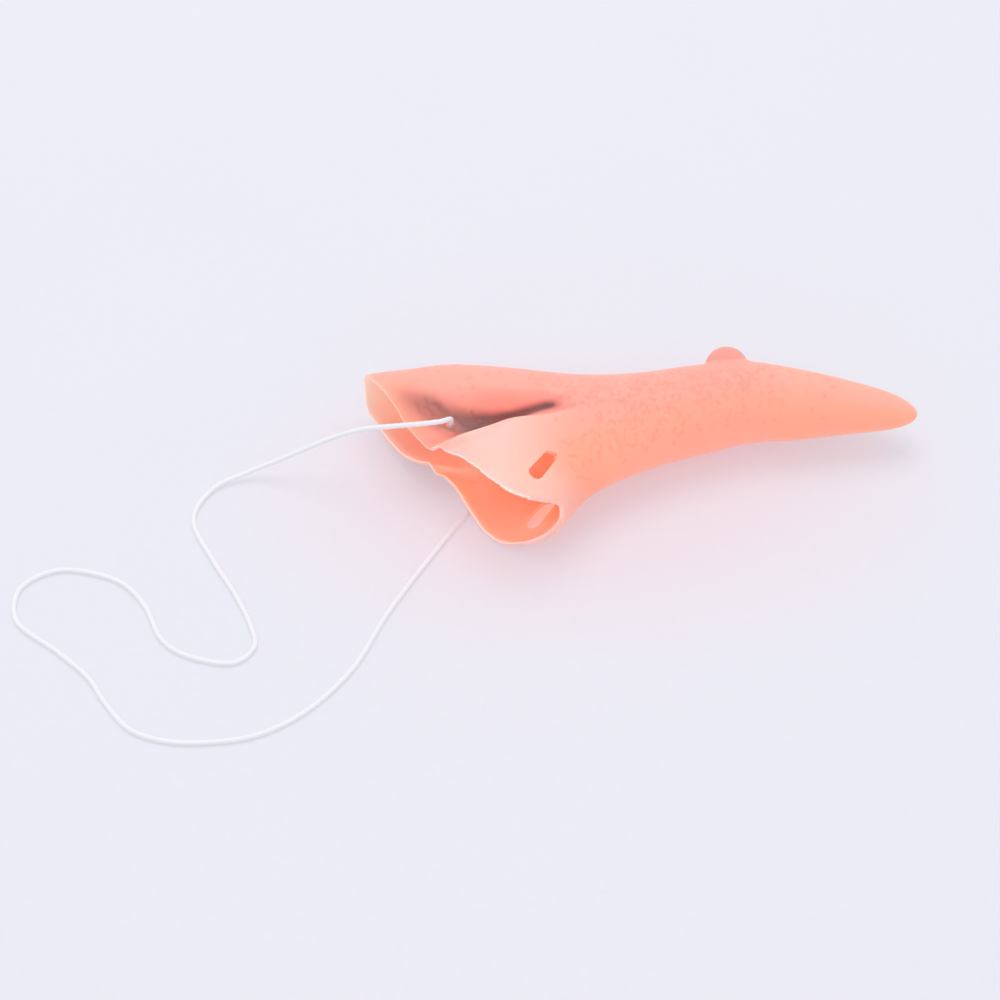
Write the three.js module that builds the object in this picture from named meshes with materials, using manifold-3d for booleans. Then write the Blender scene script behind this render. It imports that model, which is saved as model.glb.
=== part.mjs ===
// Witch nose: a soft hollow false nose lying on its side, with an elastic head cord
import * as THREE from 'three';
import { mergeVertices } from 'three/addons/utils/BufferGeometryUtils.js';
import Module from 'manifold-3d';

const wasm = await Module();
wasm.setup();

// Driving sizes, millimetres and degrees
const WALL = 1.25;
const RIM_WALL = 0.95;
const RIM_TAPER = 0.03;
const LYING_ROLL_DEG = -1.73;
const LYING_PITCH_DEG = 0.53;
const RIM_JOG = 0.28;
const RIM_JOG_SPAN = 0.17;
const RIM_END = 11;
const TUCK_SPAN = 0.03;
const RIM_RING_PITCH = 0.6;
const LENGTH_STEPS = 38;
const LINING_STEPS = 24;
const LINING_END = 0.97;
const GIRTH_STEPS = 64;
const TIP_WALL = 2.6;
const WART = { along: 0.596, around: 0.03, radius: 5.7, height: 5.0 };
const NOSTRIL = { along: 0.0945, around: 0.842, length: 10.6, width: 4.1, turnDeg: 14 };
const UPPER_HOLE = { along: 0.0425, around: 0.38 };
const LOWER_HOLE = { along: 0.08, around: 0.40 };
const HOLE_DIAMETER = 2.2;
const CORD_DIAMETER = 1.4;
const CORD_STEPS = 96;
const CORD_LEAD = 2.8;
const LOWER_LEAD = 2.2;
const KNOT_RADIUS = 1.9;
const GAP = 0.3;

// Sections from the open rim to the tip, in the plane that halves the nose:
// dorsal and ventral points, half widths at the bridge and at the nose wings, how square each end is,
// how far the sides reach back to the face, the depth, place and two flanks of the wing crease,
// and the height and place of the sharp tuck where the wing edge overhangs it
const COLUMNS = ['dorsalX', 'dorsalY', 'ventralX', 'ventralY', 'bridge', 'wing', 'dorsalBox', 'ventralBox',
  'reach', 'creaseDepth', 'creaseAt', 'creaseDorsal', 'creaseVentral', 'tuck', 'tuckAt'];
const SECTIONS = [
  [-74.8, 20.6, -21.3, -21.6, 12.1, 15.8, 0.37, 0.68, 13.8, 8.2, 0.43, 0.16, 0.22, 2.8, 0.434],
  [-65.4, 21.8, -21.6, -22.2, 15.6, 15.4, 0.52, 0.53, 10.3, 7.1, 0.396, 0.132, 0.2, 2.65, 0.472],
  [-54.5, 24.2, -18.2, -18.0, 14.6, 13.4, 0.60, 0.57, 4.5, 8.3, 0.44, 0.12, 0.078, 1.55, 0.478],
  [-38.3, 24.5, -13.9, -13.0, 13.1, 13.8, 0.74, 0.76, 1.5, 5.2, 0.49, 0.11, 0.07, 0.5, 0.458],
  [-22.1, 22.9, -7.2, -8.8, 12.5, 12.5, 0.88, 0.92, 0.3, 0.0, 0.50, 0.11, 0.06, 0.0, 0.46],
  [-2.0, 23.0, 6.3, -2.0, 12.6, 12.6, 1.00, 1.00, 0.0, 0.0, 0.50, 0.11, 0.06, 0.0, 0.46],
  [13.5, 25.4, 18.2, 2.3, 12.7, 12.7, 1.00, 1.00, 0.0, 0.0, 0.50, 0.11, 0.06, 0.0, 0.46],
  [28.8, 27.3, 30.0, 5.6, 11.5, 11.5, 1.00, 1.00, 0.0, 0.0, 0.50, 0.11, 0.06, 0.0, 0.46],
  [43.3, 25.5, 42.4, 6.1, 9.4, 9.4, 1.00, 1.00, 0.0, 0.0, 0.50, 0.11, 0.06, 0.0, 0.46],
  [56.9, 22.3, 55.7, 7.4, 7.0, 7.0, 1.00, 1.00, 0.0, 0.0, 0.50, 0.11, 0.06, 0.0, 0.46],
  [70.3, 17.5, 69.5, 9.0, 3.9, 3.9, 1.00, 1.00, 0.0, 0.0, 0.50, 0.11, 0.06, 0.0, 0.46],
  [74.7, 12.5, 74.7, 12.5, 0.0, 0.0, 1.00, 1.00, 0.0, 0.0, 0.50, 0.11, 0.06, 0.0, 0.46],
].map((row) => Object.fromEntries(COLUMNS.map((name, i) => [name, row[i]])));

// Sections as centre, lean and squared sizes, which round the tip when they are blended
const STATIONS = SECTIONS.map((s, i) => {
  const from = i < SECTIONS.length - 1 ? s : SECTIONS[i - 1];
  return {
    x: (s.dorsalX + s.ventralX) / 2,
    y: (s.dorsalY + s.ventralY) / 2,
    half2: ((s.dorsalX - s.ventralX) ** 2 + (s.dorsalY - s.ventralY) ** 2) / 4,
    lean: Math.atan2(from.ventralX - from.dorsalX, from.dorsalY - from.ventralY),
    bridge2: s.bridge ** 2,
    wing2: s.wing ** 2,
    dorsalBox: s.dorsalBox,
    ventralBox: s.ventralBox,
    reach: s.reach,
    creaseDepth: s.creaseDepth,
    creaseAt: s.creaseAt,
    creaseDorsal: s.creaseDorsal,
    creaseVentral: s.creaseVentral,
    tuck: s.tuck,
    tuckAt: s.tuckAt,
  };
});
const spans = STATIONS.slice(1).map((s, i) => Math.hypot(s.x - STATIONS[i].x, s.y - STATIONS[i].y));
const total = spans.reduce((a, b) => a + b, 0);
const KNOTS = [0];
spans.forEach((span) => KNOTS.push(KNOTS[KNOTS.length - 1] + span / total));

// Slope of one column at a section, weighted by the two neighbouring spans
function slope(name, i) {
  const rise = (k) => (STATIONS[k + 1][name] - STATIONS[k][name]) / (KNOTS[k + 1] - KNOTS[k]);
  if (i === 0) return rise(0);
  if (i === STATIONS.length - 1) return rise(i - 1);
  const before = KNOTS[i] - KNOTS[i - 1];
  const after = KNOTS[i + 1] - KNOTS[i];
  return (rise(i - 1) * after + rise(i) * before) / (before + after);
}

// Smooth section at a share of the length, 0 at the rim and 1 at the tip
function sectionAt(along) {
  let i = KNOTS.length - 2;
  while (i > 0 && KNOTS[i] > along) i -= 1;
  const h = KNOTS[i + 1] - KNOTS[i];
  const s = (along - KNOTS[i]) / h;
  const blend = (name) => (2 * s ** 3 - 3 * s ** 2 + 1) * STATIONS[i][name]
    + (s ** 3 - 2 * s ** 2 + s) * h * slope(name, i)
    + (3 * s ** 2 - 2 * s ** 3) * STATIONS[i + 1][name]
    + (s ** 3 - s ** 2) * h * slope(name, i + 1);
  return Object.fromEntries(Object.keys(STATIONS[0]).map((name) => [name, blend(name)]));
}

// Point of the outer skin: around runs from 0 at the dorsum to 1 underneath, side is +1 or -1
function skin(along, around, side) {
  const s = sectionAt(along);
  const sine = 2 * Math.sqrt(Math.max(around * (1 - around), 0));
  const low = THREE.MathUtils.smoothstep(around, 0.2, 0.8);
  const bridge = Math.sqrt(Math.max(s.bridge2, 0));
  const wing = Math.sqrt(Math.max(s.wing2, 0));
  const square = THREE.MathUtils.lerp(s.dorsalBox, s.ventralBox, low);
  const flank = around < s.creaseAt ? s.creaseDorsal : s.creaseVentral;
  const fold = s.creaseDepth * Math.exp(-(((around - s.creaseAt) / flank) ** 2));
  const step = (around - s.tuckAt) / TUCK_SPAN;
  const overhang = s.tuck * step * Math.exp(-step * step);
  const full = THREE.MathUtils.lerp(bridge, wing, low) * sine ** square;
  const width = Math.max(full - fold + overhang, 0);
  const jog = (around - s.creaseAt) / RIM_JOG_SPAN;
  const back = s.reach * (around ** 0.75 * (1 - around ** RIM_END) - RIM_JOG * jog * Math.exp(-jog * jog));
  const rise = (1 - 2 * around) * Math.sqrt(Math.max(s.half2, 0));
  const sin = Math.sin(s.lean);
  const cos = Math.cos(s.lean);
  return new THREE.Vector3(s.x - sin * rise - cos * back, s.y + cos * rise - sin * back, side * width);
}

// The same point by an angle around the girth, closer together where the crease runs
function skinAtAngle(along, angle) {
  const side = angle <= Math.PI ? 1 : -1;
  const a = side > 0 ? angle : 2 * Math.PI - angle;
  return skin(along, (1 - Math.cos(a + 0.22 * Math.sin(2 * a))) / 2, side);
}

// Outward direction of the skin at an angle
function outward(along, angle) {
  const turn = 2 * Math.PI;
  const next = skinAtAngle(along, (angle + 0.01) % turn);
  const girth = next.sub(skinAtAngle(along, (angle - 0.01 + turn) % turn));
  const length = skinAtAngle(Math.min(along + 0.004, 0.999), angle);
  length.sub(skinAtAngle(Math.max(along - 0.004, 0), angle));
  return girth.cross(length).normalize();
}

// Rings of the outer skin or of the lining, closer towards rim and tip, then the closing point
function rings(steps, end, thickness, tipDepth) {
  const out = [];
  for (let i = 0; i < steps; i += 1) {
    const s = i / steps;
    const along = end * (s * s * (3 - 2 * s) + RIM_RING_PITCH * s * (1 - s) ** 2);
    const depth = thickness * (1 - (1 - RIM_WALL / WALL) * Math.exp(-along / RIM_TAPER));
    for (let j = 0; j < GIRTH_STEPS; j += 1) {
      const angle = (2 * Math.PI * j) / GIRTH_STEPS;
      out.push(skinAtAngle(along, angle).addScaledVector(outward(along, angle), -depth));
    }
  }
  out.push(skin(1, 0.5, 1).add(new THREE.Vector3(-tipDepth, 0, 0)));
  return out;
}

// Faces of one set of rings, turned outward or inward
function ringFaces(steps, first, inward) {
  const faces = [];
  const put = (a, b, c) => faces.push(...(inward ? [a, c, b] : [a, b, c]));
  for (let i = 0; i < steps; i += 1) {
    for (let j = 0; j < GIRTH_STEPS; j += 1) {
      const next = (j + 1) % GIRTH_STEPS;
      const a = first + i * GIRTH_STEPS + j;
      const b = first + i * GIRTH_STEPS + next;
      if (i === steps - 1) {
        put(a, b, first + steps * GIRTH_STEPS);
      } else {
        put(a, b, b + GIRTH_STEPS);
        put(a, b + GIRTH_STEPS, a + GIRTH_STEPS);
      }
    }
  }
  return faces;
}

function toGeometry(points, faces) {
  const geometry = new THREE.BufferGeometry();
  const flat = points.flatMap((p) => p.toArray());
  geometry.setAttribute('position', new THREE.Float32BufferAttribute(flat, 3));
  geometry.setIndex(faces);
  return geometry;
}

// Open shell: skin, lining and the cut edge between them
function shellGeometry() {
  const outer = rings(LENGTH_STEPS, 1, 0, 0);
  const lining = rings(LINING_STEPS, LINING_END, WALL, TIP_WALL);
  const faces = ringFaces(LENGTH_STEPS, 0, false).concat(ringFaces(LINING_STEPS, outer.length, true));
  for (let j = 0; j < GIRTH_STEPS; j += 1) {
    const next = (j + 1) % GIRTH_STEPS;
    faces.push(j, outer.length + j, outer.length + next);
    faces.push(j, outer.length + next, next);
  }
  return toGeometry(outer.concat(lining), faces);
}

// Closed core of the hollow, used to keep the wart out of it
function hollowGeometry() {
  const lining = rings(LINING_STEPS, LINING_END, WALL, TIP_WALL);
  const middle = new THREE.Vector3();
  lining.slice(0, GIRTH_STEPS).forEach((p) => middle.addScaledVector(p, 1 / GIRTH_STEPS));
  const faces = ringFaces(LINING_STEPS, 0, false);
  for (let j = 0; j < GIRTH_STEPS; j += 1) faces.push((j + 1) % GIRTH_STEPS, j, lining.length);
  return toGeometry(lining.concat([middle]), faces);
}

// Frame on the skin: x along the nose, z straight out
function frameOn(spot, side, turnDeg) {
  const at = (dAlong, dAround) => skin(spot.along + dAlong, spot.around + dAround, side);
  const girth = at(0, 0.01).sub(at(0, -0.01));
  const x = at(0.01, 0).sub(at(-0.01, 0));
  const z = girth.cross(x).multiplyScalar(side).normalize();
  x.addScaledVector(z, -x.dot(z)).normalize();
  x.applyAxisAngle(z, THREE.MathUtils.degToRad(side * turnDeg));
  return new THREE.Matrix4().makeBasis(x, z.clone().cross(x), z).setPosition(at(0, 0));
}

function nostrilCutter(side) {
  const r = NOSTRIL.width / 2;
  const reach = NOSTRIL.length / 2 - r;
  const outline = new THREE.Shape();
  outline.absarc(reach, 0, r, -Math.PI / 2, Math.PI / 2);
  outline.absarc(-reach, 0, r, Math.PI / 2, 3 * Math.PI / 2);
  const slot = new THREE.ExtrudeGeometry(outline, { depth: 9, bevelEnabled: false, curveSegments: 8 });
  slot.translate(0, 0, -5);
  return slot.applyMatrix4(frameOn(NOSTRIL, side, NOSTRIL.turnDeg));
}

function holeFrame(side) {
  return frameOn(side > 0 ? UPPER_HOLE : LOWER_HOLE, side, 0);
}

function cordHoleCutter(side) {
  const bore = new THREE.CylinderGeometry(HOLE_DIAMETER / 2, HOLE_DIAMETER / 2, 6, 16);
  bore.rotateX(Math.PI / 2);
  return bore.applyMatrix4(holeFrame(side));
}

function wartGeometry() {
  const dome = new THREE.SphereGeometry(WART.radius, 24, 16);
  dome.scale(1, 1, WART.height / WART.radius);
  return dome.applyMatrix4(frameOn(WART, 1, 0));
}

// Solids are joined and cut here
function solid(geometry) {
  const bare = geometry.clone();
  bare.deleteAttribute('normal');
  bare.deleteAttribute('uv');
  const welded = mergeVertices(bare, 1e-4);
  return new wasm.Manifold(new wasm.Mesh({
    numProp: 3,
    vertProperties: new Float32Array(welded.attributes.position.array),
    triVerts: new Uint32Array(welded.index.array),
  }));
}

function fromSolid(body) {
  const mesh = body.getMesh();
  const geometry = new THREE.BufferGeometry();
  geometry.setAttribute('position', new THREE.Float32BufferAttribute(mesh.vertProperties, 3));
  geometry.setIndex(Array.from(mesh.triVerts));
  return geometry;
}

const wart = solid(wartGeometry()).subtract(solid(hollowGeometry()));
const pierced = [1, -1].reduce(
  (body, side) => body.subtract(solid(nostrilCutter(side))).subtract(solid(cordHoleCutter(side))),
  solid(shellGeometry()).add(wart),
);

// Lying on one side, centred over the floor
const lying = new THREE.Matrix4().makeRotationY(THREE.MathUtils.degToRad(LYING_PITCH_DEG));
lying.multiply(new THREE.Matrix4().makeRotationX(THREE.MathUtils.degToRad(LYING_ROLL_DEG)));
const noseGeometry = fromSolid(pierced).applyMatrix4(lying);
noseGeometry.computeBoundingBox();
const box = noseGeometry.boundingBox;
const toFloor = new THREE.Vector3(-(box.min.x + box.max.x) / 2, -(box.min.y + box.max.y) / 2, -box.min.z);
noseGeometry.translate(toFloor.x, toFloor.y, toFloor.z);
const place = new THREE.Matrix4().makeTranslation(toFloor).multiply(lying);

// Cord route: over the rim, down to the floor, round its bends and back under the nose to the other hole
const CORD_ROUTE = [
  [-53.8, -4.7, 27.8], [-59.0, -5.6, 28.0], [-65.9, -4.4, 25.4], [-74.3, -2.6, 21.6],
  [-82.2, -1.8, 17.0], [-90.3, -1.6, 11.4], [-98.6, -2.0, 6.2], [-107.2, -3.4, 2.4],
  [-115.5, -7.4, 1.05], [-120.5, -16.9, 0.75], [-114.2, -31.2, 0.75], [-108.7, -40.4, 0.75],
  [-103.5, -51.4, 0.75], [-102.3, -57.8, 0.75], [-107.1, -62.6, 0.75], [-119.6, -60.6, 0.75],
  [-126.3, -56.0, 0.75], [-131.9, -44.8, 0.75], [-137.9, -38.2, 0.75], [-146.4, -34.7, 0.75],
  [-156.4, -34.0, 0.75], [-165.1, -39.8, 0.75], [-165.3, -49.4, 0.75], [-153.3, -59.6, 0.75],
  [-144.9, -67.4, 0.75], [-139.4, -75.8, 0.75], [-132.9, -83.0, 0.75], [-123.8, -86.3, 0.75],
  [-111.9, -86.6, 0.75], [-100.3, -84.5, 0.75], [-88.0, -77.3, 0.75], [-76.5, -64.6, 0.75],
  [-67.3, -46.7, 0.75], [-51.5, -21.8, 0.75], [-47.45, -16.3, 0.75], [-46.0, -13.2, 0.75],
  [-45.6, -10.6, 0.75], [-45.2, -5.2, 0.9], [-44.4, -2.4, 1.7],
].map((p) => new THREE.Vector3(...p));

// Point on the axis of a cord hole, at a distance out from the skin
function onHoleAxis(side, distance) {
  const frame = place.clone().multiply(holeFrame(side));
  return new THREE.Vector3(0, 0, distance).applyMatrix4(frame);
}

function knotGeometry(side) {
  const knot = new THREE.SphereGeometry(KNOT_RADIUS, 14, 10);
  const centre = onHoleAxis(side, -(WALL + 2 * GAP + KNOT_RADIUS));
  return knot.translate(centre.x, centre.y, centre.z);
}

function cordGeometry() {
  const points = [
    onHoleAxis(1, -(WALL + GAP)),
    onHoleAxis(1, CORD_LEAD),
    ...CORD_ROUTE,
    onHoleAxis(-1, LOWER_LEAD),
    onHoleAxis(-1, -(WALL + GAP)),
  ];
  const path = new THREE.CatmullRomCurve3(points, false, 'centripetal');
  const section = new THREE.Shape();
  for (let k = 0; k < 8; k += 1) {
    const angle = (2 * Math.PI * (k + 0.5)) / 8;
    const method = k === 0 ? 'moveTo' : 'lineTo';
    section[method](Math.cos(angle) * CORD_DIAMETER / 2, Math.sin(angle) * CORD_DIAMETER / 2);
  }
  return new THREE.ExtrudeGeometry(section, { steps: CORD_STEPS, extrudePath: path, bevelEnabled: false });
}

const group = new THREE.Group();
function add(name, geometry, color, roughness) {
  const material = new THREE.MeshStandardMaterial({ color, roughness, metalness: 0 });
  const mesh = new THREE.Mesh(geometry, material);
  mesh.name = name;
  group.add(mesh);
}
add('nose_shell', noseGeometry, 0xf2a58c, 0.55);
add('elastic_cord', cordGeometry(), 0xf4f2f5, 0.7);
add('upper_knot', knotGeometry(1), 0xf4f2f5, 0.7);
add('lower_knot', knotGeometry(-1), 0xf4f2f5, 0.7);

export default group;
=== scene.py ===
import math

import bpy
import numpy as np
from bpy.props import FloatProperty, FloatVectorProperty, IntProperty, PointerProperty
from bpy.types import Operator, Panel, PropertyGroup
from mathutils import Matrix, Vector
from mathutils.kdtree import KDTree


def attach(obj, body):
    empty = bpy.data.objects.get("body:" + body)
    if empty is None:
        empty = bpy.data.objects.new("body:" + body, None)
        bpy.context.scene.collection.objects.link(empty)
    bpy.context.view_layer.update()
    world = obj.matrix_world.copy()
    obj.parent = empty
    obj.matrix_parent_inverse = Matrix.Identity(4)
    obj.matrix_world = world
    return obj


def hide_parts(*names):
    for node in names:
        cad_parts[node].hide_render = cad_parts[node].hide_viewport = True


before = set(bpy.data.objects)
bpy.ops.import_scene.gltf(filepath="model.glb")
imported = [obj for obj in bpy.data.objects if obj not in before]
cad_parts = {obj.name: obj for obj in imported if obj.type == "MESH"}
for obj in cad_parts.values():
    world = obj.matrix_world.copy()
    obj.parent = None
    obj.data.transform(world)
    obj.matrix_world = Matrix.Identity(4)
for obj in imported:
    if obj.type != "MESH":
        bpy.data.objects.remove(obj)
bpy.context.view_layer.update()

bl_info = {
    "name": "Witch Nose",
    "version": (1, 0, 0),
    "blender": (4, 5, 0),
    "location": "3D View > Sidebar > Witch Nose",
    "description": "Builds a soft hollow witch nose and its elastic head cord round the packed frame",
    "category": "Add Mesh",
}

MM = 0.001
BODY = "root"

# Sections from the open rim to the tip, the same as in the solid: millimetres in the middle plane
COLUMNS = ("dorsal_x", "dorsal_y", "ventral_x", "ventral_y", "bridge", "wing", "dorsal_box", "ventral_box",
           "reach", "crease_depth", "crease_at", "crease_dorsal", "crease_ventral", "tuck", "tuck_at")
SECTIONS = np.array([
    [-74.8, 20.6, -21.3, -21.6, 12.1, 15.8, 0.37, 0.68, 13.8, 8.2, 0.43, 0.16, 0.22, 2.8, 0.434],
    [-65.4, 21.8, -21.6, -22.2, 15.6, 15.4, 0.52, 0.53, 10.3, 7.1, 0.396, 0.132, 0.2, 2.65, 0.472],
    [-54.5, 24.2, -18.2, -18.0, 14.6, 13.4, 0.60, 0.57, 4.5, 8.3, 0.44, 0.12, 0.078, 1.55, 0.478],
    [-38.3, 24.5, -13.9, -13.0, 13.1, 13.8, 0.74, 0.76, 1.5, 5.2, 0.49, 0.11, 0.07, 0.5, 0.458],
    [-22.1, 22.9, -7.2, -8.8, 12.5, 12.5, 0.88, 0.92, 0.3, 0.0, 0.50, 0.11, 0.06, 0.0, 0.46],
    [-2.0, 23.0, 6.3, -2.0, 12.6, 12.6, 1.00, 1.00, 0.0, 0.0, 0.50, 0.11, 0.06, 0.0, 0.46],
    [13.5, 25.4, 18.2, 2.3, 12.7, 12.7, 1.00, 1.00, 0.0, 0.0, 0.50, 0.11, 0.06, 0.0, 0.46],
    [28.8, 27.3, 30.0, 5.6, 11.5, 11.5, 1.00, 1.00, 0.0, 0.0, 0.50, 0.11, 0.06, 0.0, 0.46],
    [43.3, 25.5, 42.4, 6.1, 9.4, 9.4, 1.00, 1.00, 0.0, 0.0, 0.50, 0.11, 0.06, 0.0, 0.46],
    [56.9, 22.3, 55.7, 7.4, 7.0, 7.0, 1.00, 1.00, 0.0, 0.0, 0.50, 0.11, 0.06, 0.0, 0.46],
    [70.3, 17.5, 69.5, 9.0, 3.9, 3.9, 1.00, 1.00, 0.0, 0.0, 0.50, 0.11, 0.06, 0.0, 0.46],
    [74.7, 12.5, 74.7, 12.5, 0.0, 0.0, 1.00, 1.00, 0.0, 0.0, 0.50, 0.11, 0.06, 0.0, 0.46],
])

# Wave of the rim, fold of the crease and taper of the wall, as shares along and around the nose
RIM_JOG = 0.28
RIM_JOG_SPAN = 0.17
RIM_END = 11
TUCK_SPAN = 0.03
RIM_TAPER = 0.03

# How the nose lies: its turn, and its shift over the floor in millimetres
LYING_ROLL = math.radians(-1.73)
LYING_PITCH = math.radians(0.53)
FLOOR_SHIFT = (0.060, -3.389)

# Nostrils, cord holes and wart: places along and around the nose, sizes in millimetres
NOSTRIL_SPOT = (0.0945, 0.842)
NOSTRIL_TURN = math.radians(14.0)
NOSTRIL_STEPS = 96
NOSTRIL_TEAR = (-0.55, 0.25)
NOSTRIL_STEP = 0.5
NOSTRIL_STEP_FROM = 1.5
NOSTRIL_CUT = (-5.0, 4.0)
NOSTRIL_SEEDS = ((1.0, 3), (-1.0, 4))
UPPER_HOLE = (0.0425, 0.38)
LOWER_HOLE = (0.08, 0.40)
HOLE_RADIUS = 1.1
HOLE_STEPS = 28
HOLE_WAVE = 0.05
HOLE_CUT = (-3.0, 3.0)
CORD_GAP = 0.3
CORD_LEAD = 2.8
LOWER_LEAD = 2.2
WART_SPOT = (0.596, 0.03)
WART_FOOT_REACH = 3.4
WART_FOOT_HEIGHT = 0.75
WART_FOOT_SPREAD = 1.1
WART_DEPTH = 9.0
WART_TINT = 0.7

# Cord route on the floor and over the rim, in metres, the same points as in the solid
CORD_ROUTE = (
    (-0.0538, -0.0047, 0.02780), (-0.0590, -0.0056, 0.02800), (-0.0659, -0.0044, 0.02540),
    (-0.0743, -0.0026, 0.02160), (-0.0822, -0.0018, 0.01700), (-0.0903, -0.0016, 0.01140),
    (-0.0986, -0.0020, 0.00620), (-0.1072, -0.0034, 0.00240), (-0.1155, -0.0074, 0.00105),
    (-0.1205, -0.0169, 0.00075), (-0.1142, -0.0312, 0.00075), (-0.1087, -0.0404, 0.00075),
    (-0.1035, -0.0514, 0.00075), (-0.1023, -0.0578, 0.00075), (-0.1071, -0.0626, 0.00075),
    (-0.1196, -0.0606, 0.00075), (-0.1263, -0.0560, 0.00075), (-0.1319, -0.0448, 0.00075),
    (-0.1379, -0.0382, 0.00075), (-0.1464, -0.0347, 0.00075), (-0.1564, -0.0340, 0.00075),
    (-0.1651, -0.0398, 0.00075), (-0.1653, -0.0494, 0.00075), (-0.1533, -0.0596, 0.00075),
    (-0.1449, -0.0674, 0.00075), (-0.1394, -0.0758, 0.00075), (-0.1329, -0.0830, 0.00075),
    (-0.1238, -0.0863, 0.00075), (-0.1119, -0.0866, 0.00075), (-0.1003, -0.0845, 0.00075),
    (-0.0880, -0.0773, 0.00075), (-0.0765, -0.0646, 0.00075), (-0.0673, -0.0467, 0.00075),
    (-0.0515, -0.0218, 0.00075), (-0.04745, -0.0163, 0.00075), (-0.0460, -0.0132, 0.00075),
    (-0.0456, -0.0106, 0.00075), (-0.0452, -0.0052, 0.00090), (-0.0444, -0.0024, 0.00170),
)

# Sprayed shade in the creases, by place along the nose: where it is full around the nose, how it fades
# towards the bridge, where it ends towards the wing and how it fades there, and its strength
SPRAY_COLUMNS = ("along", "full", "dorsal_fade", "end", "ventral_fade", "strength")
SPRAY = np.array([
    [0.000, 0.210, 0.050, 0.240, 0.050, 0.04],
    [0.015, 0.220, 0.060, 0.240, 0.080, 0.40],
    [0.025, 0.260, 0.075, 0.290, 0.140, 0.58],
    [0.035, 0.280, 0.070, 0.430, 0.018, 0.63],
    [0.045, 0.300, 0.060, 0.442, 0.016, 0.72],
    [0.057, 0.380, 0.085, 0.450, 0.016, 0.84],
    [0.080, 0.390, 0.042, 0.460, 0.016, 0.90],
    [0.110, 0.415, 0.027, 0.466, 0.016, 0.94],
    [0.140, 0.430, 0.018, 0.460, 0.018, 0.95],
    [0.170, 0.440, 0.022, 0.456, 0.020, 0.97],
    [0.202, 0.445, 0.022, 0.462, 0.022, 0.98],
    [0.218, 0.450, 0.028, 0.468, 0.028, 0.50],
    [0.236, 0.455, 0.030, 0.475, 0.030, 0.00],
])

# Lines in the skin, as runs of points along and around the nose: a wrinkle has a depth and a half width,
# the slit of painted shade along the fold over the wing a strength and a half width, and the strokes share
# theirs
WRINKLES = (
    (0.40, 0.50, ((0.0216, 0.248), (0.0225, 0.268), (0.0207, 0.284))),
    (0.50, 0.50, ((0.0296, 0.284), (0.0330, 0.300), (0.0324, 0.322))),
    (0.45, 0.50, ((0.0404, 0.280), (0.0446, 0.292), (0.0441, 0.309))),
    (0.15, 0.50, ((0.0586, 0.354), (0.0540, 0.418))),
    (0.40, 0.50, ((0.0830, 0.365), (0.0830, 0.405))),
    (0.40, 0.42, ((0.0324, 0.384), (0.0360, 0.412))),
    (0.35, 0.42, ((0.0342, 0.246), (0.0342, 0.277))),
)
SLIT_SHADE = ((0.34, 0.45, ((0.030, 0.440), (0.060, 0.452), (0.110, 0.456))),
        (0.95, 0.42, ((0.120, 0.452), (0.165, 0.452), (0.212, 0.456))))
STROKES = (
    ((0.280, 0.791), (0.295, 0.825)),
    ((0.276, 0.848), (0.279, 0.929)),
    ((0.296, 0.847), (0.300, 0.932)),
    ((0.321, 0.833), (0.3135, 0.875), (0.320, 0.913), (0.333, 0.933), (0.343, 0.925), (0.340, 0.892)),
    ((0.241, 0.898), (0.232, 0.948)),
    ((0.150, 0.897), (0.146, 0.935)),
    ((0.185, 0.922), (0.178, 0.948)),
    ((0.140, 0.968), (0.181, 0.992)),
    ((0.157, 0.871), (0.176, 0.892)),
    ((0.339, 0.736), (0.337, 0.804)),
    ((0.165, 0.779), (0.175, 0.808)),
    ((0.316, 0.518), (0.332, 0.501)),
    ((0.400, 0.591), (0.411, 0.620)),
    ((0.352, 0.741), (0.365, 0.761)),
    ((0.425, 0.761), (0.435, 0.788)),
    ((0.453, 0.768), (0.457, 0.807)),
    ((0.369, 0.419), (0.376, 0.441)),
)
# Darkening laid in the wrinkles
WRINKLE_DARKENING = 0.22
STROKE_DEPTH = 0.14
STROKE_WIDTH = 0.42
STROKE_TINT = 0.28

# Fine lines scattered over the skin: ranges of place, turn, bend, half length and strength
FLECK_ALONG = (0.04, 0.93)
FLECK_AROUND = (0.02, 0.98)
FLECK_TURN = (0.3, 2.3)
FLECK_BEND = (-0.6, 0.6)
FLECK_SIZE = (0.15, 0.75)
FLECK_STRENGTH = (0.3, 1.0)
FLECK_WIDTH = 0.46
FLECK_DEPTH = 0.10
FLECK_TINT = 0.5

# Cut edge: waves of the knife as number and height, nicks by place around, and how far the cut shows
RIM_WAVES = ((9, 0.08), (23, 0.05), (47, 0.04))
RIM_NICKS = (0.696, 0.801, 0.886, 0.909)
NICK_DEPTH = 0.22
NICK_RISE = 0.16
NICK_STEP = 0.011
NICK_WIDTH = 0.005
CUT_REACH = 2.5
LIP_BULGE = 0.28

# Woven cover of the cord and strand of its knots, metres
BRAID_PITCH = 2.2 * MM
BRAID_HEIGHT = 0.035 * MM
BRAID_ROOM = 0.03 * MM
BRAID_STRANDS = 4
CORD_SPACING = 0.3 * MM
CORD_STEPS = 14
KNOT_STRAND = 0.58 * MM
KNOT_ROOM = 0.62 * MM
KNOT_LENGTH_STEPS = 90
KNOT_STEPS = 12

# Light
KEY_PLACE = (-0.10, 0.42, 1.25)
KEY_AIM = (-0.02, 0.0, 0.01)
KEY_SIZE = 0.9
SKY_COLOUR = (0.97, 0.97, 1.0, 1.0)
NO_LIGHT = (0.0, 0.0, 0.0)

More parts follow.
